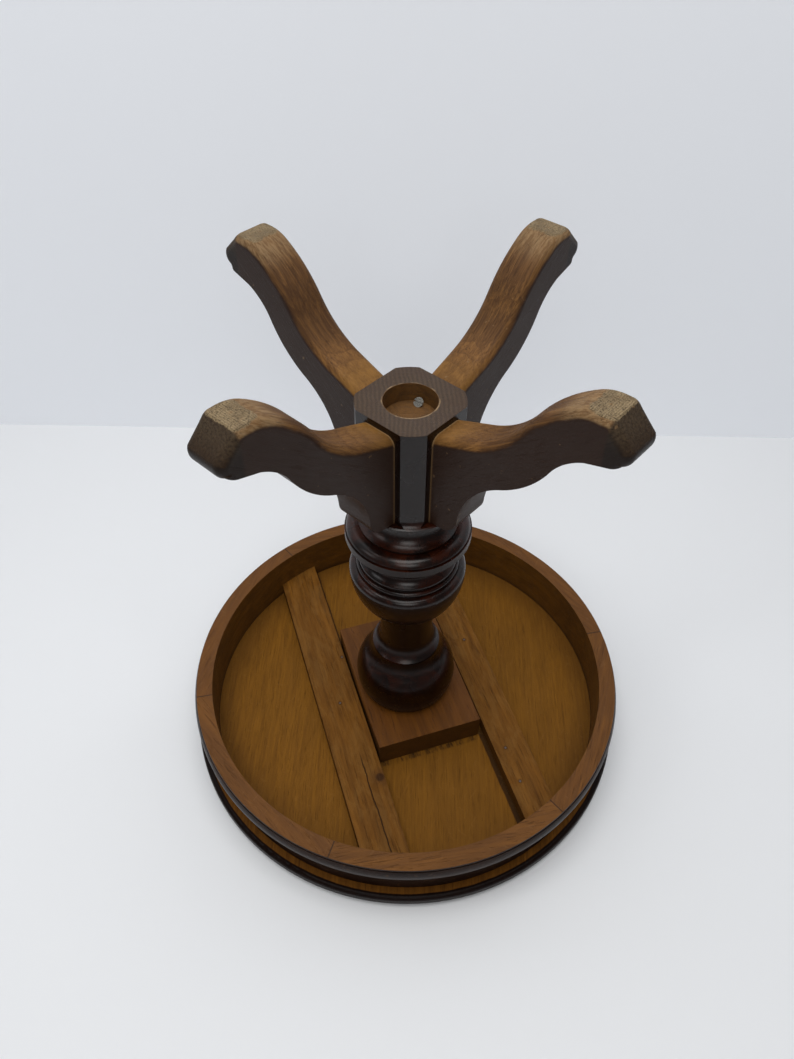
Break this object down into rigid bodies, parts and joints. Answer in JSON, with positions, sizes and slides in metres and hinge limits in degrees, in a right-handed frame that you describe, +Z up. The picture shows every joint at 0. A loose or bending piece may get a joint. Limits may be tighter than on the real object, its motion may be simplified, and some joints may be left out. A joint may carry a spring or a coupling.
{
  "type": "pedestal table",
  "caption": "Small round pedestal table on a turned column with scroll-cut legs, standing upside down on its moulded top.",
  "frame": {"origin": "centre of the round top's show face, which is on the floor", "axes": "+Z up along the turned column, from the show face to the foot pads; the table is upside down in this frame"},
  "size_m": [0.4679, 0.468, 0.5169],
  "materials": {
    "top_wood": "unfinished underside, dark polished rim",
    "apron_wood": "dark satin polish",
    "batten_wood": "unfinished",
    "block_wood": "thin stain",
    "column_wood": "dark satin polish",
    "leg_wood": "dark satin polish, worn underside",
    "dowel_wood": "raw",
    "nail_steel": "dark oxide",
    "screw_steel": "bright steel"
  },
  "bodies": {
    "root": {"top_board": "top_wood", "apron_segment_1": "apron_wood", "apron_segment_2": "apron_wood", "apron_segment_3": "apron_wood", "apron_segment_4": "apron_wood", "apron_segment_5": "apron_wood", "apron_segment_6": "apron_wood", "batten_left": "batten_wood", "batten_right": "batten_wood", "mounting_block": "block_wood", "column": "column_wood", "leg_1": "leg_wood", "leg_2": "leg_wood", "leg_3": "leg_wood", "leg_4": "leg_wood", "leg_dowels": "dowel_wood", "batten_nails": "nail_steel", "bore_screw": "screw_steel"}
  },
  "joints": []
}
